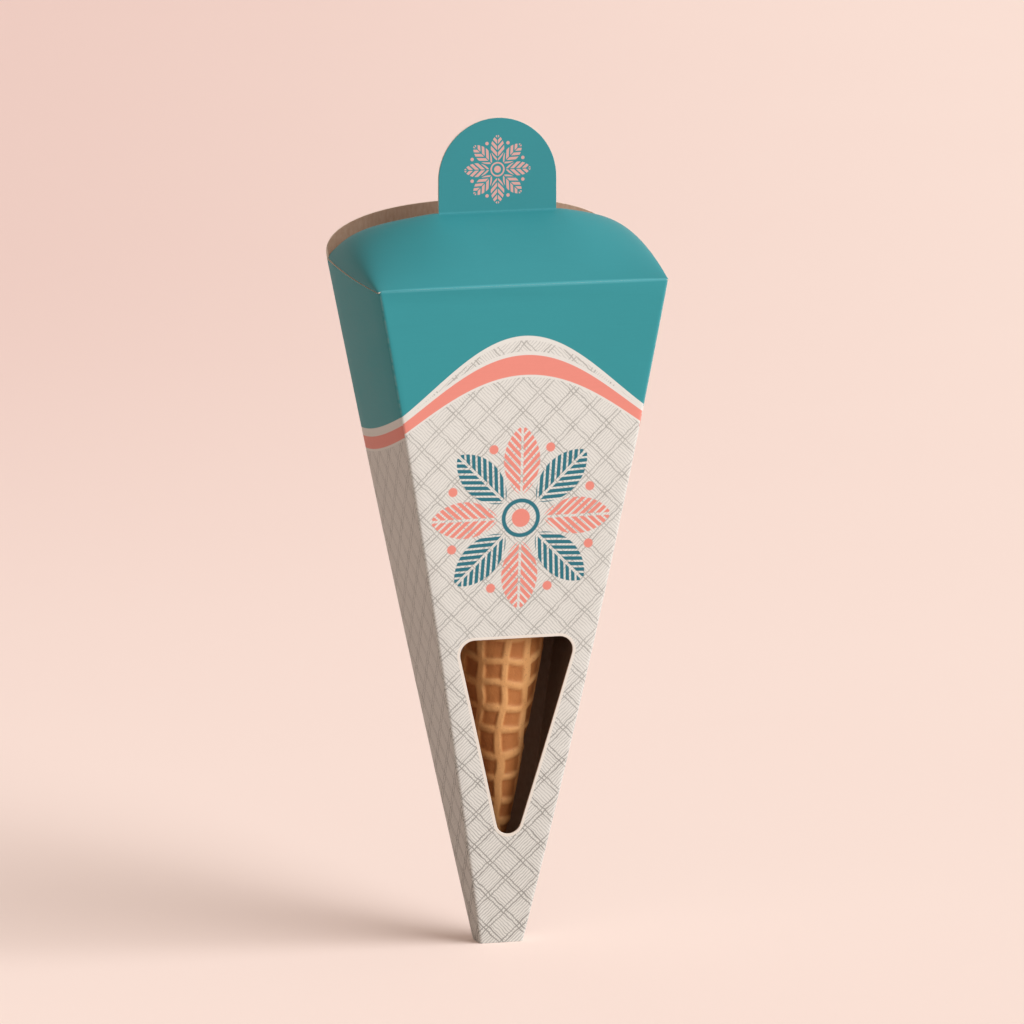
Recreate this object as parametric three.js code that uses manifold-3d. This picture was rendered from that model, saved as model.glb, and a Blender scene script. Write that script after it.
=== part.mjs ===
// Carton sleeve for an ice cream cone: a tapered folding carton that stands on its small base,
// with a curved lid that folds up from the front panel and a rolled waffle cone inside.
// Millimetres, +Z up, +X to the right, the front panel faces -Y.
// The origin is the centre of the underside of the base.

import * as THREE from 'three';
import { mergeVertices } from 'three/addons/utils/BufferGeometryUtils.js';
import Module from 'manifold-3d';

const wasm = await Module();
wasm.setup();

// Board and running clearance
const BOARD = 0.6;
const GAP = 0.3;

// Carton body
const FRONT_HEIGHT = 200;
const WIDTH_TOP = 88;
const WIDTH_BASE = 13.4;
const DEPTH_TOP = 55;
const DEPTH_BASE = 8;
const SHOULDER_RISE = 2.6;
const FRONT_BOW = 5;
const BACK_BOW = 3;
const SIDE_BOW = 1.2;
const SIDE_BOW_POWER = 3;
const FOLD_CHAMFER = 0.35;
const BACK_ARCH_RISE = 15.9;
const BACK_ARCH_POWER = 2.25;

// Window in the front panel: a triangle with round corners, point down
const WINDOW_TOP = 94.2;
const WINDOW_BOTTOM = 34.1;
const WINDOW_WIDTH = 34.4;
const WINDOW_TOP_RADIUS = 4.3;
const WINDOW_BOTTOM_RADIUS = 3.8;

// Lid, from the fold at its front to its free rear edge, and the tab that stands on that edge
const LID_REACH = 28.2;
const LID_RISE = 16.5;
const LID_FRONT_POWER = 5.5;
const LID_REAR_POWER = 1.45;
const LID_SWEEP_POWER = 1.45;
const LID_CLIMB_POWER = 1.4;
const TAB_WIDTH = 36;
const TAB_LENGTH = 27.6;

// Waffle cone
const CONE_TIP = 24;
const CONE_RIM = 140;
const CONE_WALL = 1.8;
const CONE_NOSE_RADIUS = 1.6;
const RIDGE_HEIGHT = 0.6;
const RIDGE_SHARE = 0.3;
const CELLS_AROUND = 14;
const CELL_ROWS = 15;
const ROLL_STEP = 0.5;

// Fineness of the curved surfaces
const HEIGHT_STEPS = 20;
const SIDE_STEPS = 6;
const ARCH_STEPS = 36;
const LID_STEPS = 12;
const SHOULDER_STEPS = 14;
const CORNER_STEPS = 8;
const NOSE_STEPS = 3;

const lerp = (a, b, t) => a + (b - a) * t;
const hump = (t) => 4 * t * (1 - t);
const steps = (count) => Array.from({ length: count + 1 }, (_, i) => i / count);

// Solids

// The triangles that close a convex loop of n points.
const fanCap = (n) => Array.from({ length: n - 2 }, (_, i) => [0, i + 1, i + 2]);

// The triangles that close a thin loop whose second half runs back beside its first.
const stripCap = (n) =>
  Array.from({ length: n / 2 - 1 }, (_, i) => [
    [i, i + 1, n - 1 - i],
    [i + 1, n - 2 - i, n - 1 - i],
  ]).flat();

// Joins loops of equally many points into one closed body. Each four-sided patch between two
// loops is cut along its shorter diagonal.
function loft(loops, cap = fanCap) {
  const count = loops[0].length;
  const points = loops.flat();
  const index = [];
  for (let j = 0; j < loops.length - 1; j++) {
    for (let i = 0; i < count; i++) {
      const a = j * count + i;
      const b = j * count + ((i + 1) % count);
      const c = b + count;
      const d = a + count;
      const rising = points[a].distanceTo(points[c]);
      const falling = points[b].distanceTo(points[d]);
      if (rising < falling) index.push(a, b, c, a, c, d);
      else index.push(a, b, d, b, c, d);
    }
  }
  const last = (loops.length - 1) * count;
  for (const [a, b, c] of cap(count)) {
    index.push(c, b, a, last + a, last + b, last + c);
  }
  const geometry = new THREE.BufferGeometry().setFromPoints(points);
  geometry.setIndex(index);
  return facingOut(geometry);
}

function signedVolume(geometry) {
  const p = geometry.attributes.position;
  const index = geometry.index.array;
  const [a, b, c] = [new THREE.Vector3(), new THREE.Vector3(), new THREE.Vector3()];
  let sum = 0;
  for (let i = 0; i < index.length; i += 3) {
    a.fromBufferAttribute(p, index[i]);
    b.fromBufferAttribute(p, index[i + 1]);
    c.fromBufferAttribute(p, index[i + 2]);
    sum += a.dot(b.cross(c)) / 6;
  }
  return sum;
}

function facingOut(geometry) {
  if (signedVolume(geometry) < 0) {
    const index = geometry.index.array;
    for (let i = 0; i < index.length; i += 3) {
      [index[i], index[i + 1]] = [index[i + 1], index[i]];
    }
  }
  return geometry;
}

function solid(geometry) {
  const bare = geometry.clone();
  bare.deleteAttribute('normal');
  bare.deleteAttribute('uv');
  const merged = mergeVertices(bare, 1e-5);
  return new wasm.Manifold(
    new wasm.Mesh({
      numProp: 3,
      vertProperties: new Float32Array(merged.attributes.position.array),
      triVerts: new Uint32Array(merged.index.array),
    }),
  );
}

function geometryOf(manifold) {
  const mesh = manifold.getMesh();
  const geometry = new THREE.BufferGeometry();
  geometry.setAttribute('position', new THREE.BufferAttribute(mesh.vertProperties, 3));
  geometry.setIndex(new THREE.BufferAttribute(mesh.triVerts, 1));
  return geometry;
}

// A shape drawn in X and Z, made a prism from one Y to another.
function prismAlongY(shape, from, to, curveSegments = CORNER_STEPS) {
  const geometry = new THREE.ExtrudeGeometry(shape, {
    depth: to - from,
    bevelEnabled: false,
    curveSegments,
  });
  geometry.rotateX(Math.PI / 2);
  geometry.translate(0, to, 0);
  return geometry;
}

// A shape drawn in Y and Z, made a prism across the whole width.
function prismAlongX(shape, reach) {
  const geometry = new THREE.ExtrudeGeometry(shape, { depth: 2 * reach, bevelEnabled: false });
  geometry.rotateX(Math.PI / 2);
  geometry.rotateZ(Math.PI / 2);
  geometry.translate(-reach, 0, 0);
  return geometry;
}

// A quarter of a superellipse, from its foot at (1, 0) up to its top at (0, 1).
const quarter = (power, count) =>
  steps(count).map((t) => {
    const across = t < 1 ? Math.cos((t * Math.PI) / 2) : 0;
    const up = Math.sin((t * Math.PI) / 2);
    return new THREE.Vector2(across ** (2 / power), up ** (2 / power));
  });

// Carton panels

// Half the carton's width or depth at a height. Above the fold the panels carry straight on.
function panelHalf(base, top, bow, z) {
  const t = z / FRONT_HEIGHT;
  const bulge = t <= 1 ? bow * hump(t) : -4 * bow * (t - 1);
  return lerp(base, top, t) / 2 + bulge;
}

const halfWidth = (z) => panelHalf(WIDTH_BASE, WIDTH_TOP, 0, z);
const frontY = (z) => -panelHalf(DEPTH_BASE, DEPTH_TOP, FRONT_BOW, z);
const backY = (z) => panelHalf(DEPTH_BASE, DEPTH_TOP, BACK_BOW, z);

const mouthHalf = halfWidth(FRONT_HEIGHT);
const mouthFront = frontY(FRONT_HEIGHT);
const mouthBack = backY(FRONT_HEIGHT);
const frontInner = mouthFront + BOARD;
const backInner = mouthBack - BOARD;

// How far a side panel swells out past its flat plane: nothing at the folds, most at the mouth.
function sideSwell(y, z) {
  const along = THREE.MathUtils.clamp((y - frontY(z)) / (backY(z) - frontY(z)), 0, 1);
  return SIDE_BOW * Math.min(z / FRONT_HEIGHT, 1) ** SIDE_BOW_POWER * hump(along);
}

// Height of the lid's rim over the side panels: it climbs straight from the fold to the shoulder.
function rimZ(y) {
  const along = (y - mouthFront) / (mouthBack - mouthFront);
  return FRONT_HEIGHT - BOARD + SHOULDER_RISE * along;
}

// A closed loop round the carton at one height, with narrow chamfers for the scored folds.
// inset moves every panel inwards by the board's thickness.
function cartonLoop(z, inset) {
  const half = halfWidth(z) - inset;
  const ends = [frontY(z) + inset, backY(z) - inset];
  const loop = [];
  for (const side of [1, -1]) {
    const [from, to] = side > 0 ? ends : [ends[1], ends[0]];
    const chamfer = side * FOLD_CHAMFER;
    loop.push(new THREE.Vector3(side * half - chamfer, from, z));
    for (const t of steps(SIDE_STEPS)) {
      const y = lerp(from + chamfer, to - chamfer, t);
      loop.push(new THREE.Vector3(side * (half + sideSwell(y, z)), y, z));
    }
    loop.push(new THREE.Vector3(side * half - chamfer, to, z));
  }
  return loop;
}

// The window's outline: three arcs joined by straight sides that touch them.
function roundedTriangle() {
  const topZ = WINDOW_TOP - WINDOW_TOP_RADIUS;
  const topX = WINDOW_WIDTH / 2 - WINDOW_TOP_RADIUS;
  const bottomZ = WINDOW_BOTTOM + WINDOW_BOTTOM_RADIUS;
  const side = new THREE.Vector2(-topX, bottomZ - topZ);
  const lean = Math.acos((WINDOW_TOP_RADIUS - WINDOW_BOTTOM_RADIUS) / side.length());
  const touch = side.angle() + lean - 2 * Math.PI;
  const shape = new THREE.Shape();
  shape.absarc(topX, topZ, WINDOW_TOP_RADIUS, touch, Math.PI / 2, false);
  shape.absarc(-topX, topZ, WINDOW_TOP_RADIUS, Math.PI / 2, Math.PI - touch, false);
  shape.absarc(0, bottomZ, WINDOW_BOTTOM_RADIUS, Math.PI - touch, 2 * Math.PI + touch, false);
  return shape;
}

// Everything over the front panel and the side panels, up to the back panel's inner face.
function overMouth(ceiling) {
  const corners = [
    [mouthFront - BOARD, FRONT_HEIGHT],
    [frontInner, FRONT_HEIGHT],
    [frontInner, rimZ(frontInner) - GAP],
    [backInner, rimZ(backInner) - GAP],
    [backInner, ceiling],
    [mouthFront - BOARD, ceiling],
  ];
  const shape = new THREE.Shape(corners.map(([y, z]) => new THREE.Vector2(y, z)));
  return prismAlongX(shape, WIDTH_TOP);
}

// Everything outside the back panel's arched top.
function roundTheArch(ceiling) {
  const shoulder = rimZ(mouthBack) - GAP;
  const arch = quarter(BACK_ARCH_POWER, ARCH_STEPS / 2).map(
    (p) => new THREE.Vector2(p.x * mouthHalf, shoulder + p.y * BACK_ARCH_RISE),
  );
  const left = arch.slice(0, -1).map((p) => new THREE.Vector2(-p.x, p.y));
  const shape = new THREE.Shape([
    new THREE.Vector2(WIDTH_TOP, shoulder),
    ...arch,
    ...left.reverse(),
    new THREE.Vector2(-WIDTH_TOP, shoulder),
    new THREE.Vector2(-WIDTH_TOP, ceiling),
    new THREE.Vector2(WIDTH_TOP, ceiling),
  ]);
  return prismAlongY(shape, -DEPTH_TOP, DEPTH_TOP);
}

function makeCarton() {
  const topZ = rimZ(mouthBack) + BACK_ARCH_RISE + BOARD;
  const shell = (from, to, inset) => {
    const heights = steps(HEIGHT_STEPS).map((t) => lerp(from, FRONT_HEIGHT, t));
    return solid(loft([...heights, to].map((z) => cartonLoop(z, inset))));
  };
  return geometryOf(
    shell(0, topZ, 0)
      .subtract(shell(BOARD, topZ + BOARD, BOARD))
      .subtract(solid(overMouth(topZ + BOARD)))
      .subtract(solid(roundTheArch(topZ + BOARD)))
      .subtract(solid(prismAlongY(roundedTriangle(), -DEPTH_TOP, 0))),
  );
}

// Lid

const lidRearY = mouthFront + LID_REACH;
const tabHalf = TAB_WIDTH / 2;

// Share of the lid's full rise at one share of its reach.
const climb = (t) => 1 - (1 - t) ** LID_CLIMB_POWER;

// The closed loop round the lid's board at one share of its reach: over the top and back below.
// The lid is level across the tab's width. Past that its shoulders curve down to the side panels,
// and its rear edge sweeps back to the back panel.
function lidLoop(t) {
  const loop = [];
  for (const layer of [BOARD, 0]) {
    const half = mouthHalf - BOARD + layer;
    const rise = LID_RISE * climb(t) + layer;
    const right = quarter(lerp(LID_FRONT_POWER, LID_REAR_POWER, t), SHOULDER_STEPS).map((p) => {
      const x = lerp(tabHalf, half, p.x);
      const rear = lerp(lidRearY, backInner - GAP, p.x ** LID_SWEEP_POWER);
      const y = lerp(frontInner + GAP, rear, t);
      const swell = (x / half) * sideSwell(y, FRONT_HEIGHT);
      return new THREE.Vector3(x + swell, y, rimZ(y) + rise * p.y);
    });
    const left = right.map((p) => new THREE.Vector3(-p.x, p.y, p.z));
    const row = [...right, ...left.reverse()];
    loop.push(...(layer > 0 ? row : row.reverse()));
  }
  return loop;
}

// The tab stands on the level part of the lid's rear edge, with its foot within the lid's board.
function makeTab() {
  const foot = rimZ(lidRearY) + LID_RISE;
  const shape = new THREE.Shape();
  shape.moveTo(-tabHalf, foot);
  shape.lineTo(tabHalf, foot);
  shape.absarc(0, foot + BOARD + TAB_LENGTH - tabHalf, tabHalf, 0, Math.PI, false);
  return prismAlongY(shape, lidRearY - BOARD, lidRearY, ARCH_STEPS / 2);
}

function makeLid() {
  const panel = loft(steps(LID_STEPS).map(lidLoop), stripCap);
  return geometryOf(solid(panel).add(solid(makeTab())));
}

// Waffle cone

// The rim lies against the front and back panels, so the cone stands midway between them.
const coneY = (frontY(CONE_RIM) + backY(CONE_RIM)) / 2;
const rimRadius = (backY(CONE_RIM) - frontY(CONE_RIM)) / 2 - BOARD - GAP;
const skinAtRim = rimRadius - RIDGE_HEIGHT - ROLL_STEP;
const skin = (z) => (skinAtRim * (z - CONE_TIP)) / (CONE_RIM - CONE_TIP);
const heightAt = (radius) => CONE_TIP + ((CONE_RIM - CONE_TIP) * radius) / skinAtRim;

// Across a cell of the baked grid: both edges of the ridge, then the middle of the dimple.
const STATIONS = [
  { at: 0, proud: true },
  { at: RIDGE_SHARE, proud: true },
  { at: (1 + RIDGE_SHARE) / 2, proud: false },
];

function makeCone() {
  const columns = [];
  for (let cell = 0; cell < CELLS_AROUND; cell++) {
    for (const { at, proud } of STATIONS) columns.push({ turn: (cell + at) / CELLS_AROUND, proud });
  }

  // A loop round the cone at one height, as far out as radiusAt says.
  const ring = (z, radiusAt) =>
    columns.map((column) => {
      const angle = 2 * Math.PI * column.turn;
      const r = radiusAt(column);
      return new THREE.Vector3(r * Math.cos(angle), coneY + r * Math.sin(angle), z);
    });
  const plain = (z, radius) => ring(z, () => radius);

  // The wafer is rolled up, so its baked outside steps out once a turn.
  const baked = (z, proudAllRound) =>
    ring(z, ({ turn, proud }) => {
      const ridge = proudAllRound || proud ? RIDGE_HEIGHT : 0;
      return skin(z) + ROLL_STEP * turn + ridge;
    });

  const firstRow = heightAt(CONE_NOSE_RADIUS);
  const rowHeight = (CONE_RIM - firstRow) / (CELL_ROWS + RIDGE_SHARE);
  const loops = [];
  for (let i = 1; i <= NOSE_STEPS; i++) {
    const angle = ((i / (NOSE_STEPS + 1)) * Math.PI) / 2;
    const below = CONE_NOSE_RADIUS * Math.cos(angle);
    loops.push(plain(firstRow - below, CONE_NOSE_RADIUS * Math.sin(angle)));
  }
  for (let row = 0; row < CELL_ROWS; row++) {
    for (const { at, proud } of STATIONS) {
      loops.push(baked(firstRow + (row + at) * rowHeight, proud));
    }
  }
  loops.push(baked(CONE_RIM - RIDGE_SHARE * rowHeight, true));
  loops.push(baked(CONE_RIM, true));
  loops.push(plain(CONE_RIM, skinAtRim - CONE_WALL));
  loops.push(plain(heightAt(2 * CONE_WALL), CONE_WALL));
  return loft(loops);
}

// Assembly

function piece(name, geometry, color, roughness) {
  const material = new THREE.MeshStandardMaterial({ color, roughness, metalness: 0 });
  const mesh = new THREE.Mesh(geometry, material);
  mesh.name = name;
  return mesh;
}

const sleeve = new THREE.Group();
sleeve.add(piece('carton', makeCarton(), 0xd8cdc0, 0.6));
sleeve.add(piece('lid', makeLid(), 0x419195, 0.55));
sleeve.add(piece('waffle_cone', makeCone(), 0xd29558, 0.75));

export default sleeve;
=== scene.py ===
import math

import bmesh
import bpy
from mathutils import Matrix, Vector, noise


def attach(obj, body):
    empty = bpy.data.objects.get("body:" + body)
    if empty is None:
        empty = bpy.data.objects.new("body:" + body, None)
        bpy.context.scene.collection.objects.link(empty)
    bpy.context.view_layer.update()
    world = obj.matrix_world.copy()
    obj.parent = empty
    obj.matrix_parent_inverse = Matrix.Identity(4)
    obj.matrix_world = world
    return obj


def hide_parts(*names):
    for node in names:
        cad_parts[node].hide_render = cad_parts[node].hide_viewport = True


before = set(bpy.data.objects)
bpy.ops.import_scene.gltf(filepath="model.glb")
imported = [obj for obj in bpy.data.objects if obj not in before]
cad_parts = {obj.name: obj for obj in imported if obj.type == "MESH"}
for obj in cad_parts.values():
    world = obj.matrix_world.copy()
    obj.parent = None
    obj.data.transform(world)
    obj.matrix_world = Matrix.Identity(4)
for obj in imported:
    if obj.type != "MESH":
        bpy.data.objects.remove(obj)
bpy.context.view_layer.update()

MM = 0.001

# Carton sizes in millimetres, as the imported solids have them
BOARD = 0.6
GAP = 0.3
FRONT_HEIGHT = 200.0
WIDTH_TOP = 88.0
WIDTH_BASE = 13.4
DEPTH_TOP = 55.0
DEPTH_BASE = 8.0
SHOULDER_RISE = 2.6
FRONT_BOW = 5.0
BACK_BOW = 3.0
SIDE_BOW = 1.2
BACK_ARCH_RISE = 15.9
BACK_ARCH_POWER = 2.25
FOLD_RADIUS = 0.9

WINDOW_TOP = 94.2
WINDOW_BOTTOM = 34.1
WINDOW_WIDTH = 34.4
WINDOW_TOP_RADIUS = 4.3
WINDOW_BOTTOM_RADIUS = 3.8
WINDOW_BORDER = 0.9

LID_REACH = 28.2
LID_RISE = 16.5
LID_FRONT_POWER = 5.5
LID_REAR_POWER = 1.45
LID_SWEEP_POWER = 1.45
LID_CLIMB_POWER = 1.4
TAB_HALF = 18.0
TAB_LENGTH = 27.6

CONE_TIP = 24.0
CONE_RIM = 140.0
CONE_WALL = 1.8
RIDGE_HEIGHT = 0.6
ROLL_STEP = 0.5

# Print: heights in millimetres up from the base, and turns in radians per millimetre
WAVE_MIDDLE = 169.7
WAVE_RISE = 15.3
WAVE_TURN = 0.0555
WAVE_CENTRE = 0.4
CREST_TURN = 0.078
BACK_WAVE_RISE = 6.0
BACK_WAVE_TURN = 0.0898
REAR_FOLD_HEIGHT = 151.8
SIDE_FOLD_HEIGHT = 162.5
LATTICE_CELL = 7.2
LOW_LATTICE_TOP = 120.0
FOLD_WEAR_REACH = 0.8
PETALS = 8
PETAL_TURN = 2 * math.pi / PETALS
FRONT_VEINS = 0.09
TAB_VEINS = 0.18
ROSETTE_HEIGHT = 130.7
ROSETTE_RADIUS = 27.5
TAB_ROSETTE_HEIGHT = 230.2
TAB_ROSETTE_RADIUS = 10.2


def srgb(red, green, blue):
    """A colour given in display values from 0 to 255, as linear RGBA."""
    linear = []
    for value in (red, green, blue):
        v = value / 255
        linear.append(v / 12.92 if v <= 0.04045 else ((v + 0.055) / 1.055) ** 2.4)
    return (*linear, 1.0)


TEAL = srgb(53, 145, 151)
# Painted shade: the lid's teal is the front's board printed darker so the upward-facing lid reads
# shaded
SHADED_LID_TEAL = srgb(52, 137, 143)
# Painted highlight for the front fold and the foot of the tab; on the front fold it is partly
# crease wear
TEAL_CREASE_HIGHLIGHT = srgb(86, 167, 175)
CORAL = srgb(234, 142, 127)
CREAM = srgb(228, 224, 216)
HATCH = srgb(152, 148, 141)
BORDER_CREAM = srgb(238, 229, 218)
PRINT_TEAL = srgb(46, 113, 126)
# The inside board's own brown, made darker as painted shade so the carton's inside reads dark
SHADED_BROWN_BOARD = srgb(156, 122, 97)
CUT_BOARD = srgb(226, 208, 188)
TAB_PINK = srgb(228, 166, 157)
SCUFF = srgb(214, 222, 217)
FLOOR_PINK = srgb(255, 235, 225)
# Painted shade for the floor and backdrop towards the back and left; also the tone of the floor's
# mottle
FLOOR_SHADE_AND_MOTTLE = srgb(240, 211, 202)


def lerp(a, b, t):
    return a + (b - a) * t


def hump(t):
    return 4 * t * (1 - t)


def panel_half(base, top, bow, z):
    t = z / FRONT_HEIGHT
    bulge = bow * hump(t) if t <= 1 else -4 * bow * (t - 1)
    return lerp(base, top, t) / 2 + bulge


def half_width(z):
    return panel_half(WIDTH_BASE, WIDTH_TOP, 0, z)


def front_y(z):
    return -panel_half(DEPTH_BASE, DEPTH_TOP, FRONT_BOW, z)


def back_y(z):
    return panel_half(DEPTH_BASE, DEPTH_TOP, BACK_BOW, z)


def side_swell(y, z):
    along = (y - front_y(z)) / (back_y(z) - front_y(z))
    return SIDE_BOW * min(z / FRONT_HEIGHT, 1) ** 3 * hump(min(max(along, 0), 1))


MOUTH_FRONT = front_y(FRONT_HEIGHT)
MOUTH_BACK = back_y(FRONT_HEIGHT)
HINGE_Y = MOUTH_FRONT + BOARD / 2


def rim_z(y):
    along = (y - MOUTH_FRONT) / (MOUTH_BACK - MOUTH_FRONT)
    return FRONT_HEIGHT - BOARD + SHOULDER_RISE * along


# Mesh helpers

SHARP_ANGLE = 35
WAFER_SHARP_ANGLE = 60
CUT_EDGE_ANGLE = 50
CARTON_SOFTNESS = 0.1
TAB_SOFTNESS = 0.12


def finish_piece(name, bm, body, materials, sharp=SHARP_ANGLE):
    """Makes one object of a mesh drawn in millimetres and puts it on its body."""
    bmesh.ops.scale(bm, vec=(MM, MM, MM), verts=bm.verts)
    mesh = bpy.data.meshes.new(name)
    for face in bm.faces:
        face.smooth = True
    bm.to_mesh(mesh)
    bm.free()
    for material in materials:
        mesh.materials.append(material)
    mesh.set_sharp_from_angle(angle=math.radians(sharp))
    piece = bpy.data.objects.new(name, mesh)
    bpy.context.scene.collection.objects.link(piece)
    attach(piece, body)
    return piece


def soften_edges(piece, width):
    """Rounds the cut edges of a board by a little."""
    bevel = piece.modifiers.new("soft_cut_edges", "BEVEL")
    bevel.width = width * MM
    bevel.segments = 2
    bevel.limit_method = "ANGLE"
    bevel.angle_limit = math.radians(CUT_EDGE_ANGLE)
    bevel.use_clamp_overlap = True


def verts_among(items):
    return [item for item in items if isinstance(item, bmesh.types.BMVert)]


def placed_grid(bm, columns, rows, place):
    """Adds a grid whose point at each column and row is where place(column, row) says."""
    made = bmesh.ops.create_grid(bm, x_segments=columns, y_segments=rows, size=1.0)
    for vert in made["verts"]:
        column = round((vert.co.x + 1) / 2 * columns)
        row = round((vert.co.y + 1) / 2 * rows)
        vert.co = place(column, row)


def open_edges(bm, test):
    """The edges along the open borders of a mesh for which test(middle) holds."""
    found = []
    for edge in bm.edges:
        if edge.is_boundary and test((edge.verts[0].co + edge.verts[1].co) / 2):
            found.append(edge)
    return found


def arc(bm, centre, start, turn, count):
    """A row of edges from start round a centre in the X and Z plane: its two end points."""
    first = bm.verts.new(start)
    made = bmesh.ops.spin(
        bm,
        geom=[first],
        cent=(centre[0], 0, centre[1]),
        axis=(0, -1, 0),
        angle=turn,
        steps=count,
        use_duplicate=False,
    )
    return first, verts_among(made["geom_last"])[0]


# Carton

ROWS = 40
ARC_STEPS = 4
SIDE_STEPS = 6
BACK_STEPS = 36
WINDOW_ARC_STEPS = 14
WELD = 0.02
ABOVE_WINDOW = 150

# The carton's materials, in the order of its slots
FRONT, SIDE, BACK, INSIDE, CUT, BORDER = range(6)


def wall_stations():
    """The stations round the carton, from the front's right fold to its left fold."""
    stations = []
    for corner in range(4):
        for i in range(ARC_STEPS + 1):
            stations.append(("fold", corner, i / ARC_STEPS))
        if corner in (0, 2):
            sign = 1 if corner == 0 else -1
            for i in range(1, SIDE_STEPS):
                share = i / SIDE_STEPS
                stations.append(("side", sign, share if sign > 0 else 1 - share))
        if corner == 1:
            for i in range(1, BACK_STEPS):
                stations.append(("back", 0, i / BACK_STEPS))
    return stations


STATIONS = wall_stations()


def wall_xy(station, z, inset):
    """A station's place at one height, on the outer face or inset from it."""
    kind, which, share = station
    half = half_width(z)
    front = front_y(z)
    back = back_y(z)
    if kind == "side":
        y = lerp(front + FOLD_RADIUS, back - FOLD_RADIUS, share)
        return Vector((which * (half + side_swell(y, z) - inset), y))
    if kind == "back":
        return Vector(((half - FOLD_RADIUS) * math.cos(math.pi * share), back - inset))
    centre_x = (half - FOLD_RADIUS) * (1 if which in (0, 1) else -1)
    centre_y = front + FOLD_RADIUS if which in (0, 3) else back - FOLD_RADIUS
    angle = (which - 1 + share) * math.pi / 2
    radius = FOLD_RADIUS - inset
    x = centre_x + radius * math.cos(angle)
    y = centre_y + radius * math.sin(angle)
    swell = side_swell(centre_y + FOLD_RADIUS * math.sin(angle), z)
    return Vector((x + swell * x / half, y))


def wall_top(station):
    """The height of the cut top edge at one station."""
    kind, which, share = station
    at_fold = wall_xy(station, FRONT_HEIGHT, 0)
    if kind == "side":
        return rim_z(at_fold.y) - GAP
    if kind == "fold" and which in (0, 3):
        lean = share if which == 0 else 1 - share
        return lerp(FRONT_HEIGHT, rim_z(at_fold.y) - GAP, lean)
    across = min(abs(at_fold.x) / half_width(FRONT_HEIGHT), 1)
    arch = BACK_ARCH_RISE * (1 - across ** BACK_ARCH_POWER) ** (1 / BACK_ARCH_POWER)
    return rim_z(MOUTH_BACK) - GAP + arch


def window_outline(bm, grow):
    """The window's outline in the X and Z plane, grown outwards by some millimetres."""
    top_z = WINDOW_TOP - WINDOW_TOP_RADIUS
    top_x = WINDOW_WIDTH / 2 - WINDOW_TOP_RADIUS
    low_z = WINDOW_BOTTOM + WINDOW_BOTTOM_RADIUS
    run = Vector((-top_x, low_z - top_z))
    difference = WINDOW_TOP_RADIUS - WINDOW_BOTTOM_RADIUS
    lean = math.acos(difference / run.length)
    side = math.atan2(run.y, run.x) + lean
    corners = [
        (top_x, top_z, WINDOW_TOP_RADIUS, side, math.pi / 2 - side),
        (-top_x, top_z, WINDOW_TOP_RADIUS, math.pi / 2, math.pi / 2 - side),
        (0, low_z, WINDOW_BOTTOM_RADIUS, math.pi - side, math.pi + 2 * side),
    ]
    ends = []
    before = set(bm.edges)
    for x, z, radius, start, turn in corners:
        reach = radius + grow
        point = (x + reach * math.cos(start), 0, z + reach * math.sin(start))
        ends.append(arc(bm, (x, z), point, turn, WINDOW_ARC_STEPS))
    for i in range(3):
        bm.edges.new((ends[i][1], ends[(i + 1) % 3][0]))
    return [edge for edge in bm.edges if edge not in before]


def flat_front(bm):
    """The front panel drawn flat, with its window and the plain border round that."""
    inner = window_outline(bm, 0)
    outer = window_outline(bm, WINDOW_BORDER)
    ring = bmesh.ops.bridge_loops(bm, edges=inner + outer)
    for face in ring["faces"]:
        face.material_index = BORDER
    corners = []
    for z, sign in ((0, 1), (FRONT_HEIGHT, 1), (FRONT_HEIGHT, -1), (0, -1)):
        corners.append(bm.verts.new((sign * (half_width(z) - FOLD_RADIUS), 0, z)))
    outline = [bm.edges.new((corners[i], corners[(i + 1) % 4])) for i in range(4)]
    bmesh.ops.triangle_fill(bm, use_beauty=True, edges=outer + outline, normal=(0, -1, 0))
    for row in range(1, ROWS):
        bmesh.ops.bisect_plane(
            bm,
            geom=bm.verts[:] + bm.edges[:] + bm.faces[:],
            plane_co=(0, 0, row * FRONT_HEIGHT / ROWS),
            plane_no=(0, 0, 1),
        )


def carton_layer(bm, inset):
    """One face of the carton's board: its front panel, and the other three as one grid."""
    def lifted(z):
        return max(z, inset)

    def place(column, row):
        station = STATIONS[column]
        z = lifted(wall_top(station) * row / ROWS)
        spot = wall_xy(station, z, inset)
        return (spot.x, spot.y, z)

    layer = bmesh.new()
    flat_front(layer)
    for vert in layer.verts:
        z = lifted(vert.co.z)
        shift = half_width(z) / half_width(vert.co.z)
        vert.co = (vert.co.x * shift, front_y(z) + inset, z)
    placed_grid(layer, len(STATIONS) - 1, ROWS, place)
    bmesh.ops.remove_doubles(layer, verts=layer.verts, dist=WELD)
    low = open_edges(layer, lambda middle: middle.z < 1)
    bmesh.ops.edgeloop_fill(layer, edges=low)
    mesh = bpy.data.meshes.new("layer")
    layer.to_mesh(mesh)
    layer.free()
    bm.from_mesh(mesh)
    bpy.data.meshes.remove(mesh)


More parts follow.
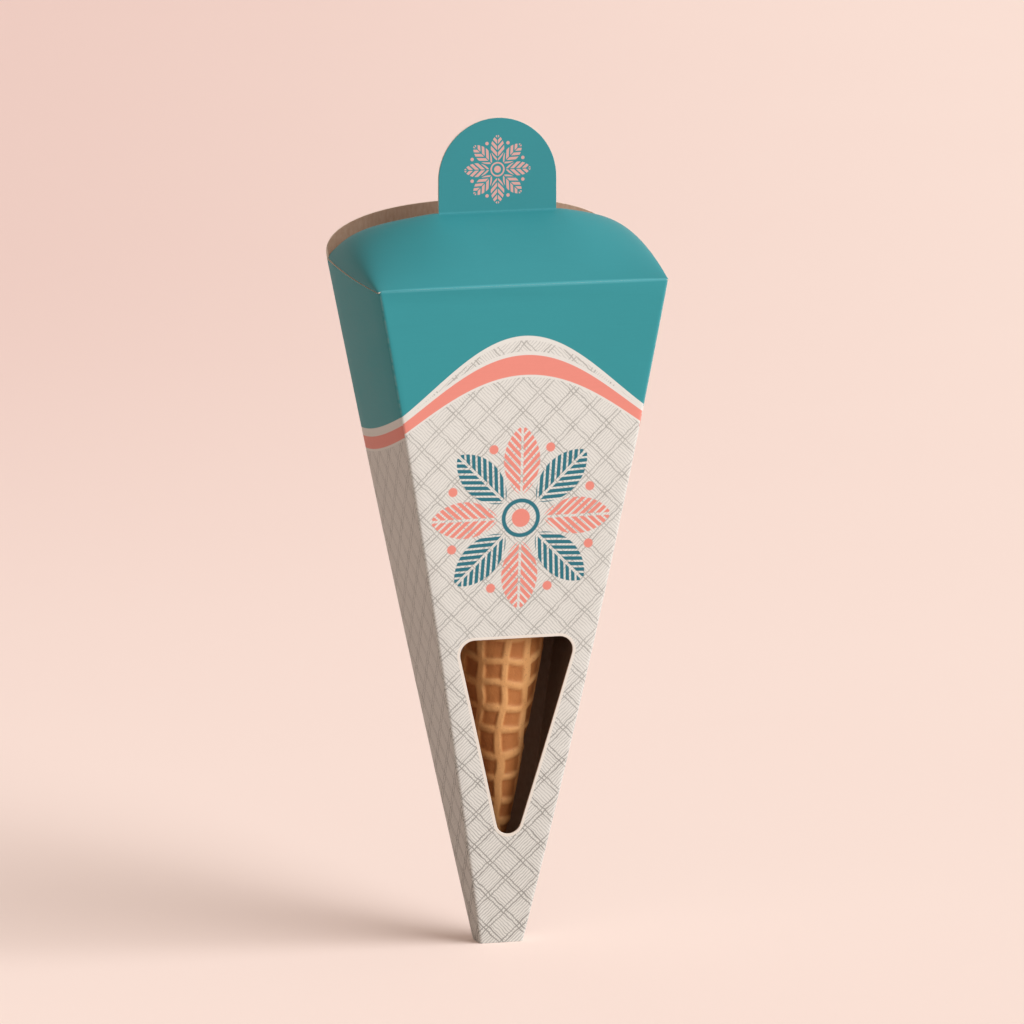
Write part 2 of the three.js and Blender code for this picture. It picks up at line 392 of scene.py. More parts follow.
def make_carton(materials):
    bm = bmesh.new()
    carton_layer(bm, 0)
    outer_count = len(bm.faces)
    carton_layer(bm, BOARD)
    bm.faces.ensure_lookup_table()
    for face in bm.faces[outer_count:]:
        face.material_index = INSIDE
    for test in (lambda m: m.z > ABOVE_WINDOW, lambda m: m.z < ABOVE_WINDOW):
        cut = bmesh.ops.bridge_loops(bm, edges=open_edges(bm, test))
        for face in cut["faces"]:
            middle = face.calc_center_median()
            at_crease = middle.y < MOUTH_FRONT + BOARD and middle.z > FRONT_HEIGHT - BOARD
            face.material_index = FRONT if at_crease else CUT
    bmesh.ops.recalc_face_normals(bm, faces=bm.faces)
    for face in bm.faces[:outer_count]:
        if face.material_index == BORDER:
            continue
        if abs(face.normal.x) > abs(face.normal.y) or abs(face.normal.z) > 0.7:
            face.material_index = SIDE
        else:
            face.material_index = FRONT if face.normal.y < 0 else BACK
    piece = finish_piece("carton_board", bm, "sleeve", materials)
    soften_edges(piece, CARTON_SOFTNESS)
    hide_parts("carton")
    return piece


# Lid

SHOULDER_STEPS = 26
LEVEL_STEPS = 6
LID_ROWS = 30
TAB_ARC_STEPS = 40
LID_INSIDE, LID_CUT = 1, 2
LID_REAR_Y = MOUTH_FRONT + LID_REACH
LID_TOP = rim_z(LID_REAR_Y) + LID_RISE + BOARD


def lid_point(column, row, layer):
    """A point of the lid: column from right to left, row from the fold to the rear edge."""
    t = row / LID_ROWS
    half = half_width(FRONT_HEIGHT) - BOARD + layer
    climb = 1 - (1 - t) ** LID_CLIMB_POWER
    rise = LID_RISE * climb + layer
    last = 2 * SHOULDER_STEPS + LEVEL_STEPS
    sign = 1
    if column > last / 2:
        column = last - column
        sign = -1
    if column <= SHOULDER_STEPS:
        angle = column / SHOULDER_STEPS * math.pi / 2
        power = 2 / lerp(LID_FRONT_POWER, LID_REAR_POWER, t)
        across = max(math.cos(angle), 0) ** power
        up = math.sin(angle) ** power
    else:
        across = 0
        up = 1
    x = lerp(TAB_HALF, half, across)
    if column > SHOULDER_STEPS:
        x = TAB_HALF * (1 - (column - SHOULDER_STEPS) / (LEVEL_STEPS / 2))
    rear = lerp(LID_REAR_Y, MOUTH_BACK - BOARD - GAP, across ** LID_SWEEP_POWER)
    y = lerp(HINGE_Y, rear, t)
    swell = x / half * side_swell(y, FRONT_HEIGHT)
    return Vector((sign * (x + swell), y, rim_z(y) + rise * up))


def make_lid(materials):
    bm = bmesh.new()
    columns = 2 * SHOULDER_STEPS + LEVEL_STEPS
    placed_grid(bm, columns, LID_ROWS, lambda c, r: lid_point(c, r, BOARD))
    top_count = len(bm.faces)
    placed_grid(bm, columns, LID_ROWS, lambda c, r: lid_point(c, r, 0))
    bm.faces.ensure_lookup_table()
    for face in bm.faces[top_count:]:
        face.material_index = LID_INSIDE
    cut = bmesh.ops.bridge_loops(bm, edges=open_edges(bm, lambda middle: True))
    for face in cut["faces"]:
        face.material_index = LID_CUT
    bmesh.ops.recalc_face_normals(bm, faces=bm.faces)
    piece = finish_piece("lid_board", bm, "lid", materials)
    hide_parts("lid")
    return piece


def make_tab(materials):
    """The round-topped tab, with its foot sunk into the lid by half a board."""
    bm = bmesh.new()
    foot = LID_TOP - BOARD / 2
    centre_z = LID_TOP + TAB_LENGTH - TAB_HALF
    start = (TAB_HALF, 0, centre_z)
    first, last = arc(bm, (0, centre_z), start, math.pi, TAB_ARC_STEPS)
    right = bm.verts.new((TAB_HALF, 0, foot))
    left = bm.verts.new((-TAB_HALF, 0, foot))
    for pair in ((last, left), (left, right), (right, first)):
        bm.edges.new(pair)
    bmesh.ops.edgeloop_fill(bm, edges=bm.edges[:])
    made = bmesh.ops.extrude_face_region(bm, geom=bm.faces[:])
    bmesh.ops.translate(bm, vec=(0, BOARD, 0), verts=verts_among(made["geom"]))
    bmesh.ops.translate(bm, vec=(0, LID_REAR_Y - BOARD, 0), verts=bm.verts)
    bmesh.ops.recalc_face_normals(bm, faces=bm.faces)
    for face in bm.faces:
        if face.normal.y > 0.9:
            face.material_index = LID_INSIDE
        elif face.normal.y > -0.9:
            face.material_index = LID_CUT
    piece = finish_piece("lid_tab", bm, "lid", materials)
    soften_edges(piece, TAB_SOFTNESS)
    return piece


# Rolled wafer

CONE_AROUND = 220
CONE_ALONG = 170
CELL_LENGTH = 7.3
CELL_WIDTH = 6.9
RIDGE_HALF = 1.05
CONE_Y = (front_y(CONE_RIM) + back_y(CONE_RIM)) / 2
RIM_RADIUS = (back_y(CONE_RIM) - front_y(CONE_RIM)) / 2 - BOARD - GAP
SKIN_AT_RIM = RIM_RADIUS - RIDGE_HEIGHT - ROLL_STEP
CONE_LENGTH = CONE_RIM - CONE_TIP
NOSE_RADIUS = 1.6
NOSE_STEPS = 5
INSIDE_ROWS = 30
INSIDE_RELIEF = 0.3
PIT_DEPTH = 0.08
RIM_UNEVENNESS = 0.5

# The flat wafer: how far its grid is shifted, drifts and slopes, in millimetres
FRONT_TURN = 0.75
GRID_SHIFT = (2.6, 1.5)
GRID_DRIFT = 1.5
DRIFT_FREQUENCY = 0.11
DRIFT_OFFSETS = (0, 31.7)
RIDGE_FOOT = 0.55
RIDGE_SLOPE = 0.95


def baked_relief(along, turn):
    """How proud the wafer stands, 0 in a cell and 1 on a ridge, at a spot of the flat sheet."""
    slant = math.hypot(SKIN_AT_RIM, CONE_LENGTH)
    spread = (turn - FRONT_TURN) * 2 * math.pi * SKIN_AT_RIM / slant
    spot = Vector((along * math.cos(spread), along * math.sin(spread), 0))
    cell = (CELL_LENGTH, CELL_WIDTH)
    relief = 0
    for axis in range(2):
        wander = spot * DRIFT_FREQUENCY + Vector((0, 0, DRIFT_OFFSETS[axis]))
        value = spot[axis] + noise.noise(wander) * GRID_DRIFT
        size = cell[axis]
        share = (value + GRID_SHIFT[axis]) / size
        distance = abs(share - round(share)) * size
        t = min(max((RIDGE_HALF + RIDGE_FOOT - distance) / RIDGE_SLOPE, 0), 1)
        relief = max(relief, t * t * (3 - 2 * t))
    return relief


def skin_radius(z):
    return SKIN_AT_RIM * (z - CONE_TIP) / CONE_LENGTH


def make_cone(materials):
    bm = bmesh.new()
    nose_z = CONE_TIP + CONE_LENGTH * NOSE_RADIUS / SKIN_AT_RIM
    profile = [(0.0, nose_z - NOSE_RADIUS)]
    for i in range(1, NOSE_STEPS):
        angle = i / NOSE_STEPS * math.pi / 2
        reach = NOSE_RADIUS * math.sin(angle)
        profile.append((reach, nose_z - NOSE_RADIUS * math.cos(angle)))
    for i in range(CONE_ALONG + 1):
        z = lerp(nose_z, CONE_RIM, i / CONE_ALONG)
        profile.append((skin_radius(z), z))
    hollow_end = CONE_TIP + 2 * CONE_WALL * CONE_LENGTH / SKIN_AT_RIM
    for i in range(INSIDE_ROWS + 1):
        z = lerp(CONE_RIM, hollow_end, i / INSIDE_ROWS)
        profile.append((skin_radius(z) - CONE_WALL, z))
    profile.append((0.0, hollow_end - 1))
    verts = [bm.verts.new((radius, 0, z)) for radius, z in profile]
    for a, b in zip(verts, verts[1:]):
        bm.edges.new((a, b))
    bmesh.ops.spin(
        bm,
        geom=bm.verts[:] + bm.edges[:],
        cent=(0, 0, 0),
        axis=(0, 0, 1),
        angle=2 * math.pi,
        steps=CONE_AROUND,
        use_merge=True,
        use_duplicate=False,
    )
    bmesh.ops.remove_doubles(bm, verts=bm.verts, dist=0.005)
    bmesh.ops.recalc_face_normals(bm, faces=bm.faces)
    relief_layer = bm.verts.layers.float.new("relief")
    slant_share = math.hypot(SKIN_AT_RIM, CONE_LENGTH) / CONE_LENGTH
    for vert in bm.verts:
        radius = math.hypot(vert.co.x, vert.co.y)
        if radius < 0.01:
            continue
        z = vert.co.z
        turn = math.atan2(vert.co.y, vert.co.x) / (2 * math.pi) % 1.0
        relief = baked_relief((z - CONE_TIP) * slant_share, turn)
        vert[relief_layer] = relief
        outward = Vector((vert.co.x, vert.co.y, 0)) / radius
        if radius > skin_radius(z) - 0.1 and z >= nose_z - 0.001:
            pit = noise.noise(vert.co * 0.9) * PIT_DEPTH
            push = RIDGE_HEIGHT * relief + pit + ROLL_STEP * turn
            vert.co += outward * min(push, RIDGE_HEIGHT + ROLL_STEP)
        elif z > nose_z + 2:
            vert.co -= outward * INSIDE_RELIEF * relief
        if z > CONE_RIM - 0.01:
            vert.co.z += (noise.noise(vert.co * 0.25) - 1) * RIM_UNEVENNESS
    bmesh.ops.translate(bm, vec=(0, CONE_Y, 0), verts=bm.verts)
    piece = finish_piece("rolled_wafer", bm, "sleeve", materials, WAFER_SHARP_ANGLE)
    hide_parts("waffle_cone")
    return piece


# Node helpers

class Wiring:
    """Adds nodes to a node tree and joins them."""

    def __init__(self, tree):
        self.tree = tree

    def feed(self, socket, value):
        if isinstance(value, bpy.types.NodeSocket):
            self.tree.links.new(value, socket)
        else:
            socket.default_value = value

    def node(self, kind, inputs=None, **settings):
        made = self.tree.nodes.new(kind)
        for name, value in settings.items():
            setattr(made, name, value)
        for name, value in (inputs or {}).items():
            self.feed(made.inputs[name], value)
        return made

    def math(self, operation, *values, clamp=False):
        made = self.node("ShaderNodeMath", operation=operation, use_clamp=clamp)
        for socket, value in zip(made.inputs, values):
            self.feed(socket, value)
        return made.outputs[0]

    def add(self, a, b):
        return self.math("ADD", a, b)

    def times(self, a, b):
        return self.math("MULTIPLY", a, b)

    def minus(self, a, b):
        return self.math("SUBTRACT", a, b)

    def fall(self, value, edge, soft):
        """1 where value is below edge and 0 where it is above, with a soft step."""
        made = self.node("ShaderNodeMapRange", interpolation_type="SMOOTHSTEP", clamp=True)
        self.feed(made.inputs["Value"], value)
        self.feed(made.inputs["From Min"], self.minus(edge, soft))
        self.feed(made.inputs["From Max"], self.add(edge, soft))
        made.inputs["To Min"].default_value = 1.0
        made.inputs["To Max"].default_value = 0.0
        return made.outputs["Result"]

    def mix(self, factor, a, b):
        made = self.node("ShaderNodeMix", data_type="RGBA", clamp_factor=True)
        self.feed(made.inputs[0], factor)
        self.feed(made.inputs[6], a)
        self.feed(made.inputs[7], b)
        return made.outputs[2]

    def group(self, tree, **inputs):
        made = self.node("ShaderNodeGroup", node_tree=tree)
        for name, value in inputs.items():
            self.feed(made.inputs[name.replace("_", " ").capitalize()], value)
        return made.outputs

    def noise(self, vector, scale, detail=3.0):
        made = self.node("ShaderNodeTexNoise", {"Vector": vector, "Scale": scale, "Detail": detail})
        return made.outputs["Fac"]

    def scaled(self, vector, factors):
        made = self.node("ShaderNodeVectorMath", operation="MULTIPLY")
        self.feed(made.inputs[0], vector)
        made.inputs[1].default_value = factors
        return made.outputs[0]

    def separate(self, vector):
        made = self.node("ShaderNodeSeparateXYZ", {"Vector": vector})
        return made.outputs


def new_group(name, inputs, outputs):
    """An empty node group: its wiring, its inputs by name and its output node."""
    tree = bpy.data.node_groups.new(name, "ShaderNodeTree")
    for label, kind, value in inputs:
        socket = tree.interface.new_socket(label, in_out="INPUT", socket_type="NodeSocket" + kind)
        if value is not None:
            socket.default_value = value
    for label in outputs:
        tree.interface.new_socket(label, in_out="OUTPUT", socket_type="NodeSocketFloat")
    wiring = Wiring(tree)
    return wiring, wiring.node("NodeGroupInput").outputs, wiring.node("NodeGroupOutput").inputs


def board_grain_group():
    """Fine felt of a matt board, with faint streaks along the sheet."""
    w, given, out = new_group("board_grain", [("Place", "Vector", None)], ["Tone", "Height"])
    fine = w.noise(given["Place"], 2.6, 4.0)
    streak = w.noise(w.scaled(given["Place"], (0.16, 0.16, 2.4)), 1.0, 3.0)
    cloud = w.noise(given["Place"], 0.035, 2.0)
    tone = w.add(w.times(fine, 0.3), w.add(w.times(streak, 0.35), w.times(cloud, 0.35)))
    w.feed(out["Tone"], tone)
    w.feed(out["Height"], w.add(w.times(fine, 0.6), w.times(streak, 0.4)))
    return w.tree


def fold_wear_group():
    """Scuffs that follow a fold or edge, broken up along it."""
    w, given, out = new_group(
        "fold_wear",
        [("Distance", "Float", 0.0), ("Reach", "Float", 0.6), ("Place", "Vector", None)],
        ["Mask"],
    )
    near = w.fall(given["Distance"], w.times(given["Reach"], 0.5), w.times(given["Reach"], 0.5))
    broken = w.noise(given["Place"], 0.7, 4.0)
    patchy = w.minus(1.0, w.fall(broken, 0.47, 0.12))
    w.feed(out["Mask"], w.times(near, w.add(w.times(patchy, 0.7), 0.3)))
    return w.tree


def lattice_group():
    """A woven lattice: diagonal cells filled in turn with strokes along either diagonal."""
    w, given, out = new_group(
        "hatched_lattice",
        [("Across", "Float", 0.0), ("Up", "Float", 0.0), ("Place", "Vector", None)],
        ["Mask"],
    )
    scale = 1 / (LATTICE_CELL * math.sqrt(2))
    wobble = w.times(w.minus(w.noise(given["Place"], 0.5, 2.0), 0.5), 0.12)
    p = w.add(w.times(w.add(given["Up"], given["Across"]), scale), wobble)
    q = w.add(w.times(w.minus(given["Up"], given["Across"]), scale), wobble)
    checks = w.math("FLOORED_MODULO", w.add(w.math("FLOOR", p), w.math("FLOOR", q)), 2.0)

    def line(value, repeats, width, soft):
        share = w.math("FRACT", w.times(value, repeats))
        away = w.math("ABSOLUTE", w.minus(share, 0.5))
        return w.fall(away, width, soft)

    strokes_p = line(p, 9.0, 0.16, 0.14)
    strokes_q = line(q, 9.0, 0.16, 0.14)
    even = w.times(strokes_p, w.minus(1.0, checks))
    odd = w.times(strokes_q, checks)
    strokes = w.times(w.add(even, odd), 0.5)
    worn = w.add(0.35, w.times(w.noise(given["Place"], 0.33, 3.0), 0.85))
    darkest = strokes
    for value in (p, q):
        for offset in (0.42, 0.58):
            rule = w.times(line(w.add(value, offset), 1.0, 0.02, 0.02), 0.95)
            darkest = w.math("MAXIMUM", darkest, rule)
    w.feed(out["Mask"], w.math("MULTIPLY", darkest, worn, clamp=True))
    return w.tree


def rosette_group():
    """A round eight-petal rosette of radius 1, with veined petals in two colours."""
    w, given, out = new_group(
        "petal_rosette",
        [("Across", "Float", 0.0), ("Up", "Float", 0.0), ("Pitch", "Float", FRONT_VEINS)],
        ["First", "Second"],
    )
    across, up = given["Across"], given["Up"]

    def length(a, b):
        return w.math("SQRT", w.add(w.times(a, a), w.times(b, b)))

    radius = length(across, up)
    turn = w.math("DIVIDE", w.math("ARCTAN2", up, across), PETAL_TURN)
    petal = w.math("FLOOR", w.add(turn, 0.5))
    angle = w.times(w.minus(turn, petal), PETAL_TURN)
    parity = w.math("FLOORED_MODULO", petal, 2.0)
    along = w.times(radius, w.math("COSINE", angle))
    beside = w.math("ABSOLUTE", w.times(radius, w.math("SINE", angle)))
    share = w.math("DIVIDE", w.minus(along, 0.25), 0.75, clamp=True)
    bulge = w.times(w.times(share, w.minus(1.0, share)), 4.0)
    width = w.times(w.math("POWER", bulge, 0.75), 0.2)
    inside = w.fall(w.minus(beside, width), 0.0, 0.006)
    vein_run = w.minus(along, w.times(beside, 1.1))
    vein = w.fall(w.math("FRACT", w.math("DIVIDE", vein_run, given["Pitch"])), 0.64, 0.07)
    rib = w.minus(1.0, w.fall(beside, 0.014, 0.005))
    leaf = w.times(w.times(inside, vein), rib)
    between = w.times(w.minus(w.math("FRACT", turn), 0.5), PETAL_TURN)
    bead_along = w.minus(w.times(radius, w.math("COSINE", between)), 0.82)
    bead_beside = w.times(radius, w.math("SINE", between))
    bead = w.fall(length(bead_along, bead_beside), 0.05, 0.006)
    ring = w.fall(w.math("ABSOLUTE", w.minus(radius, 0.19)), 0.022, 0.006)
    heart = w.fall(radius, 0.1, 0.006)
    first = w.add(w.times(leaf, w.minus(1.0, parity)), w.add(heart, bead))
    second = w.add(w.times(leaf, parity), ring)
    w.feed(out["First"], first)
    w.feed(out["Second"], second)
    return w.tree


def wave_group():
    """The teal field above a wave, the coral band below it and the plain lines between them."""
    w, given, out = new_group(
        "wave_band",
        [
            ("Up", "Float", 0.0),
            ("Edge", "Float", 160.0),
            ("Clearance", "Float", 3.0),
            ("Thickness", "Float", 4.0),
        ],
        ["Field", "Band", "Plain"],
    )
    below = w.minus(given["Edge"], given["Up"])
    field = w.fall(below, 0.0, 0.09)
    band_top = w.minus(1.0, w.fall(below, given["Clearance"], 0.09))
    band_low = w.fall(below, w.add(given["Clearance"], given["Thickness"]), 0.09)
    near_field = w.fall(below, 1.35, 0.15)
    near_top = w.minus(1.0, w.fall(below, w.minus(given["Clearance"], 1.15), 0.1))
    low_end = w.add(w.add(given["Clearance"], given["Thickness"]), 0.7)
    near_band = w.times(near_top, w.fall(below, low_end, 0.1))
    w.feed(out["Field"], field)
    w.feed(out["Band"], w.times(band_top, band_low))
    w.feed(out["Plain"], w.math("MAXIMUM", near_field, near_band))
    return w.tree


GRAIN = board_grain_group()
WEAR = fold_wear_group()
LATTICE = lattice_group()
ROSETTE = rosette_group()
WAVE = wave_group()


def new_material(name):
    material = bpy.data.materials.new(name)
    material.use_nodes = True
    w = Wiring(material.node_tree)
    shader = w.tree.nodes["Principled BSDF"]
    place = w.scaled(w.node("ShaderNodeTexCoord").outputs["Object"], (1 / MM, 1 / MM, 1 / MM))
    return material, w, shader, place


def finish_board(w, shader, place, colour, bump=0.35):
    """The matt surface that every face of the board shares."""
    grain = w.group(GRAIN, place=place)
    shade = w.minus(grain["Tone"], 0.5)
    toned = w.node("ShaderNodeHueSaturation", {"Color": colour})
    w.feed(toned.inputs["Value"], w.add(1.0, w.times(shade, 0.16)))
    w.feed(shader.inputs["Base Color"], toned.outputs["Color"])
    w.feed(shader.inputs["Roughness"], w.add(0.56, w.times(shade, 0.25)))
    shader.inputs["Specular IOR Level"].default_value = 0.22
    relief = w.node("ShaderNodeBump", {"Height": grain["Height"]})
    relief.inputs["Strength"].default_value = bump
    relief.inputs["Distance"].default_value = 0.05 * MM
    w.feed(shader.inputs["Normal"], relief.outputs["Normal"])


def polynomial(w, t, square, single, constant):
    return w.add(w.times(w.add(w.times(t, square), single), t), constant)


def printed_panel(name, panel):
    """The outside print of the front, back or side panels."""
    material, w, shader, place = new_material(name)
    parts = w.separate(place)
    x, y, z = parts[0], parts[1], parts[2]
    t = w.times(z, 1 / FRONT_HEIGHT)
    half_slope = (WIDTH_TOP - WIDTH_BASE) / 2
    width_here = polynomial(w, t, 0.0, half_slope, WIDTH_BASE / 2)
    if panel == "side":
        depth_slope = (DEPTH_TOP - DEPTH_BASE) / 2
        front = polynomial(w, t, 4 * FRONT_BOW, -depth_slope - 4 * FRONT_BOW, -DEPTH_BASE / 2)
        back = polynomial(w, t, -4 * BACK_BOW, depth_slope + 4 * BACK_BOW, DEPTH_BASE / 2)
        share = w.math("DIVIDE", w.minus(back, y), w.minus(back, front), clamp=True)
        drop = w.times(w.math("POWER", share, 1.5), SIDE_FOLD_HEIGHT - REAR_FOLD_HEIGHT)
        edge = w.add(drop, REAR_FOLD_HEIGHT)
        clearance, thickness = 2.4, 3.7
        across = y
        fold_distance = w.math("MINIMUM", w.minus(y, front), w.minus(back, y))
    else:
        across = x
        fold_distance = w.minus(width_here, w.math("ABSOLUTE", x))
        if panel == "front":
            swing = w.math("COSINE", w.times(w.minus(x, WAVE_CENTRE), WAVE_TURN))
            edge = w.add(w.times(swing, WAVE_RISE), WAVE_MIDDLE)
            crest = w.add(0.5, w.times(w.math("COSINE", w.times(x, CREST_TURN)), 0.5))
            clearance = w.add(2.3, w.times(crest, 3.4))
            thickness = w.add(3.3, w.times(crest, 2.6))
        else:
            swing = w.math("COSINE", w.times(x, BACK_WAVE_TURN))
            edge = w.add(w.times(swing, BACK_WAVE_RISE), REAR_FOLD_HEIGHT + BACK_WAVE_RISE)
            clearance, thickness = 2.4, 3.9
    wave = w.group(WAVE, up=z, edge=edge, clearance=clearance, thickness=thickness)
    lattice = w.group(LATTICE, across=across, up=z, place=place)["Mask"]
    lattice = w.times(lattice, w.minus(1.0, wave["Plain"]))
    low_down = w.fall(z, LOW_LATTICE_TOP / 2, LOW_LATTICE_TOP / 2)
    lattice = w.times(lattice, w.add(1.0, w.times(low_down, 0.6)))
    colour = w.mix(lattice, CREAM, HATCH)
    if panel == "front":
        rosette = w.group(
            ROSETTE,
            across=w.times(x, 1 / ROSETTE_RADIUS),
            up=w.times(w.minus(z, ROSETTE_HEIGHT), 1 / ROSETTE_RADIUS),
        )
        colour = w.mix(rosette["First"], colour, CORAL)
        colour = w.mix(rosette["Second"], colour, PRINT_TEAL)
    colour = w.mix(wave["Band"], colour, CORAL)
    colour = w.mix(wave["Field"], colour, TEAL)
    wear = w.group(WEAR, distance=fold_distance, reach=FOLD_WEAR_REACH, place=place)["Mask"]
    colour = w.mix(w.times(wear, 0.22), colour, SCUFF)
    if panel == "front":
        # Painted highlight along the top fold, partly crease wear
        crease_highlight = w.minus(1.0, w.fall(z, FRONT_HEIGHT - 0.55, 0.18))
        colour = w.mix(w.times(crease_highlight, 0.65), colour, TEAL_CREASE_HIGHLIGHT)
    finish_board(w, shader, place, colour)
    return material


def plain_board(name, colour):
    material, w, shader, place = new_material(name)
    fibres = w.noise(w.scaled(place, (1.0, 1.0, 0.3)), 1.4, 5.0)
    finish_board(w, shader, place, w.mix(w.times(fibres, 0.35), colour, CUT_BOARD), bump=0.6)
    return material


def lid_print():
    """Teal board printed darker as painted shade, with a painted highlight along the front fold,
    partly crease wear, and another at the foot of the tab.
    """
    material, w, shader, place = new_material("teal_lid_print")
    parts = w.separate(place)
    y, z = parts[1], parts[2]
    # Painted highlights: along the front fold (partly crease wear) and at the foot of the tab,
    # where a fillet would catch light
    crease_highlight = w.fall(y, MOUTH_FRONT + 0.75, 0.2)
    tab_foot_highlight = w.fall(w.math("ABSOLUTE", w.minus(z, LID_TOP)), 0.3, 0.2)
    tab_foot_highlight = w.times(tab_foot_highlight, w.fall(w.math("ABSOLUTE", parts[0]), TAB_HALF, 0.2))
    rosette = w.group(
        ROSETTE,
        across=w.times(parts[0], 1 / TAB_ROSETTE_RADIUS),
        up=w.times(w.minus(z, TAB_ROSETTE_HEIGHT), 1 / TAB_ROSETTE_RADIUS),
        pitch=TAB_VEINS,
    )
    print_mask = w.math("MAXIMUM", rosette["First"], rosette["Second"])
    # The lid's base teal carries painted shade
    colour = w.mix(w.times(print_mask, 0.9), SHADED_LID_TEAL, TAB_PINK)
    colour = w.mix(w.times(crease_highlight, 0.55), colour, TEAL_CREASE_HIGHLIGHT)
    colour = w.mix(w.times(tab_foot_highlight, 0.3), colour, TEAL_CREASE_HIGHLIGHT)
    finish_board(w, shader, place, colour)
    return material


def wafer_material():
    """Baked wafer: pale golden ridges over browner cells, toasted in patches."""
    material, w, shader, place = new_material("baked_wafer")
    relief = w.node("ShaderNodeAttribute", attribute_name="relief").outputs["Fac"]
    toast = w.noise(place, 0.16, 4.0)
    crumb = w.noise(place, 1.7, 5.0)
    cell = w.mix(toast, srgb(208, 137, 76), srgb(160, 92, 45))
    ridge = w.mix(toast, srgb(238, 182, 120), srgb(208, 142, 82))
    blend = w.add(relief, w.times(w.minus(crumb, 0.5), 0.5))
    colour = w.mix(blend, cell, ridge)
    spots = w.minus(1.0, w.fall(crumb, 0.64, 0.06))
    colour = w.mix(w.times(spots, 0.35), colour, srgb(140, 80, 42))
    w.feed(shader.inputs["Base Color"], colour)
    w.feed(shader.inputs["Roughness"], w.add(0.5, w.times(crumb, 0.3)))
    shader.inputs["Specular IOR Level"].default_value = 0.35
    bump = w.node("ShaderNodeBump", {"Height": crumb})
    bump.inputs["Strength"].default_value = 0.6
    bump.inputs["Distance"].default_value = 0.18 * MM
    w.feed(shader.inputs["Normal"], bump.outputs["Normal"])
    return material


# The inside board's darker brown is partly painted shade
shaded_brown_board = plain_board("brown_board_inside", SHADED_BROWN_BOARD)
cut_board = plain_board("cut_board_edge", CUT_BOARD)
border_board = plain_board("plain_window_border", BORDER_CREAM)
lid_teal = lid_print()

make_carton([
    printed_panel("front_print", "front"),
    printed_panel("side_print", "side"),
    printed_panel("back_print", "back"),
    shaded_brown_board,
    cut_board,
    border_board,
])
make_lid([lid_teal, shaded_brown_board, cut_board])
make_tab([lid_teal, shaded_brown_board, cut_board])
make_cone([wafer_material()])


# Studio

FLOOR_BOUNCE = 0.42


def floor_material():
    """Pale pink to the camera, and darker to bounced light, so the shaded side stays dark."""
    material, w, shader, place = new_material("studio_floor")
    path = w.node("ShaderNodeLightPath").outputs
    seen = w.math("MAXIMUM", path["Is Camera Ray"], path["Is Glossy Ray"])
    seen = w.math("MAXIMUM", seen, path["Is Transmission Ray"])
    dim = tuple(channel * FLOOR_BOUNCE for channel in FLOOR_PINK[:3]) + (1.0,)
    parts = w.separate(place)
    # Painted shade: the floor and backdrop darken towards the left and towards the back
    across = w.add(w.times(parts[0], 0.96), w.times(parts[1], -0.28))
    left_shade = w.fall(across, 0.0, 320.0)
    back_shade = w.minus(1.0, w.fall(parts[1], 700.0, 700.0))
    shown = w.mix(w.times(left_shade, back_shade), FLOOR_PINK, FLOOR_SHADE_AND_MOTTLE)
    mottle = w.noise(place, 0.004, 3.0)
    shown = w.mix(w.times(mottle, 0.12), shown, FLOOR_SHADE_AND_MOTTLE)
    w.feed(shader.inputs["Base Color"], w.mix(seen, dim, shown))
    shader.inputs["Roughness"].default_value = 0.95
    shader.inputs["Specular IOR Level"].default_value = 0.1
    return material


def make_floor():
    """A floor that curves up into a backdrop."""
    front_edge, bend_start, bend_radius, top = -4.5, 2.2, 1.2, 3.4
    width = 5.0
    bm = bmesh.new()
    first = bm.verts.new((0, front_edge, 0))
    second = bm.verts.new((0, bend_start, 0))
    bm.edges.new((first, second))
    made = bmesh.ops.spin(
        bm,
        geom=[second],
        cent=(0, bend_start, bend_radius),
        axis=(1, 0, 0),
        angle=math.pi / 2,
        steps=24,
        use_duplicate=False,
    )
    last = verts_among(made["geom_last"])[0]
    bm.edges.new((last, bm.verts.new((0, last.co.y, top))))
    made = bmesh.ops.extrude_edge_only(bm, edges=bm.edges[:])
    bmesh.ops.translate(bm, vec=(width, 0, 0), verts=verts_among(made["geom"]))
    bmesh.ops.translate(bm, vec=(-width / 2, 0, 0), verts=bm.verts)
    bmesh.ops.recalc_face_normals(bm, faces=bm.faces)
    bm.faces.ensure_lookup_table()
    if bm.faces[0].normal.z < 0:
        bmesh.ops.reverse_faces(bm, faces=bm.faces)
    for face in bm.faces:
        face.smooth = True
    mesh = bpy.data.meshes.new("studio_floor")
    bm.to_mesh(mesh)
    bm.free()
    mesh.materials.append(floor_material())
    floor = bpy.data.objects.new("studio_floor", mesh)
    bpy.context.scene.collection.objects.link(floor)


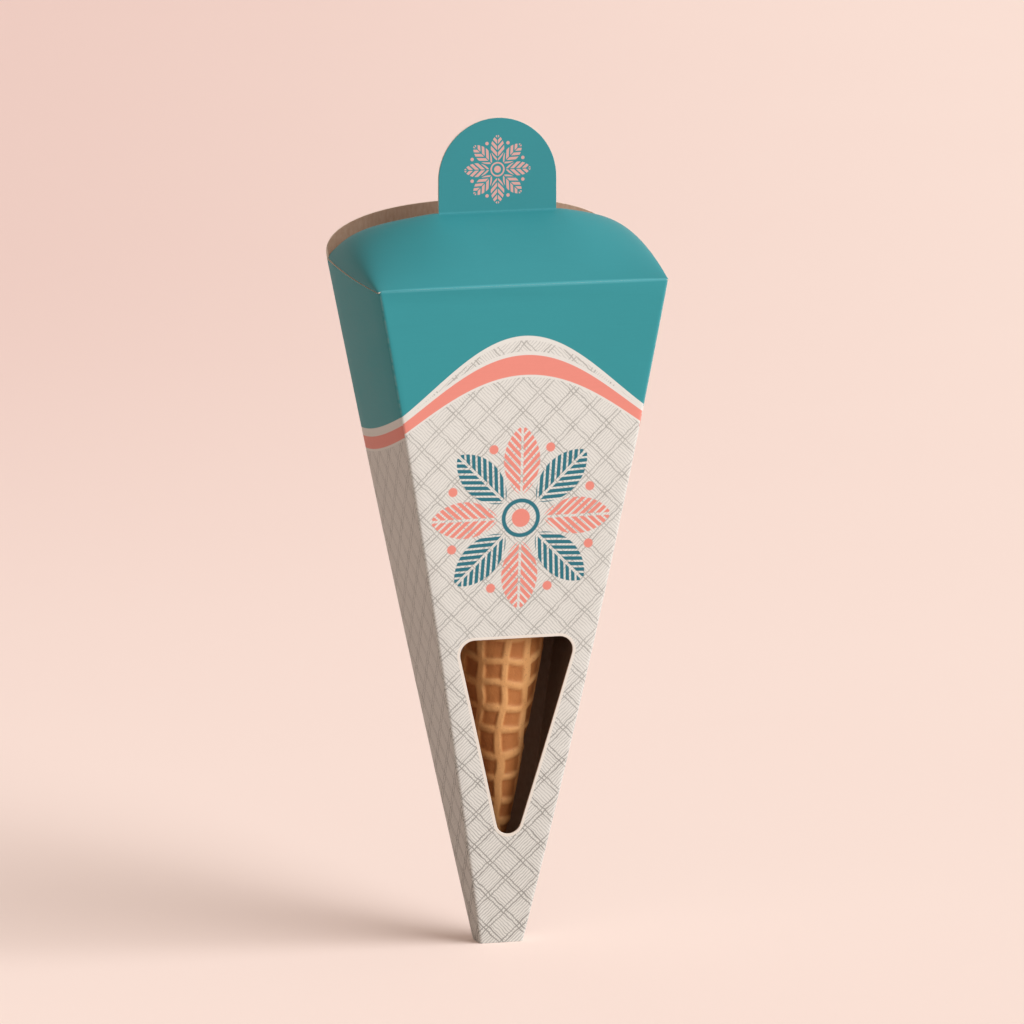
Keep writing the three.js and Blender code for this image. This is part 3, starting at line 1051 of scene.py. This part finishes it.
def add_lamp(name, kind, energy, colour, place, target):
    light = bpy.data.lights.new(name, kind)
    light.energy = energy
    light.color = colour
    lamp = bpy.data.objects.new(name, light)
    lamp.location = place
    lamp.rotation_euler = (Vector(target) - Vector(place)).to_track_quat("-Z", "Y").to_euler()
    bpy.context.scene.collection.objects.link(lamp)
    return light


def make_lights():
    key_place = (2.4, -1.95, 1.65)
    key = add_lamp("key_lamp", "SUN", 3.1, (0.97, 1.005, 1.04), key_place, (0, 0, 0))
    key.angle = math.radians(60)
    side_place = (0.55, -0.65, 0.35)
    side = add_lamp("side_lamp", "SUN", 0.45, (1.0, 0.99, 0.98), side_place, (0, 0, 0.13))
    side.angle = math.radians(30)
    world = bpy.data.worlds.new("studio_air")
    world.use_nodes = True
    ground = world.node_tree.nodes["Background"]
    ground.inputs["Color"].default_value = (1.04, 0.9, 0.81, 1.0)
    ground.inputs["Strength"].default_value = 0.46
    bpy.context.scene.world = world


def make_camera():
    """The camera that the carton's corners in the photograph give."""
    azimuth = math.radians(-16.5)
    elevation = math.radians(9.85)
    distance = 3.533
    image = 1024
    focal_pixels = 12000
    target_pixel = (497.7, 607.2)
    back = Vector((
        math.sin(azimuth) * math.cos(elevation),
        -math.cos(azimuth) * math.cos(elevation),
        math.sin(elevation),
    ))
    right = (-back).cross(Vector((0, 0, 1))).normalized()
    up = right.cross(-back)
    metres_per_pixel = distance / focal_pixels
    place = Vector((0, 0, 0.1)) + back * distance
    place += right * (image / 2 - target_pixel[0]) * metres_per_pixel
    place += up * (target_pixel[1] - image / 2) * metres_per_pixel
    data = bpy.data.cameras.new("photo_camera")
    data.sensor_width = 36
    data.lens = focal_pixels / image * data.sensor_width
    data.clip_end = 50
    camera = bpy.data.objects.new("photo_camera", data)
    turn = Matrix((right, up, back)).transposed()
    camera.matrix_world = Matrix.Translation(place) @ turn.to_4x4()
    bpy.context.scene.collection.objects.link(camera)
    bpy.context.scene.camera = camera


make_floor()
make_lights()
make_camera()
bpy.context.scene.view_settings.view_transform = "Standard"

bpy.context.view_layer.update()
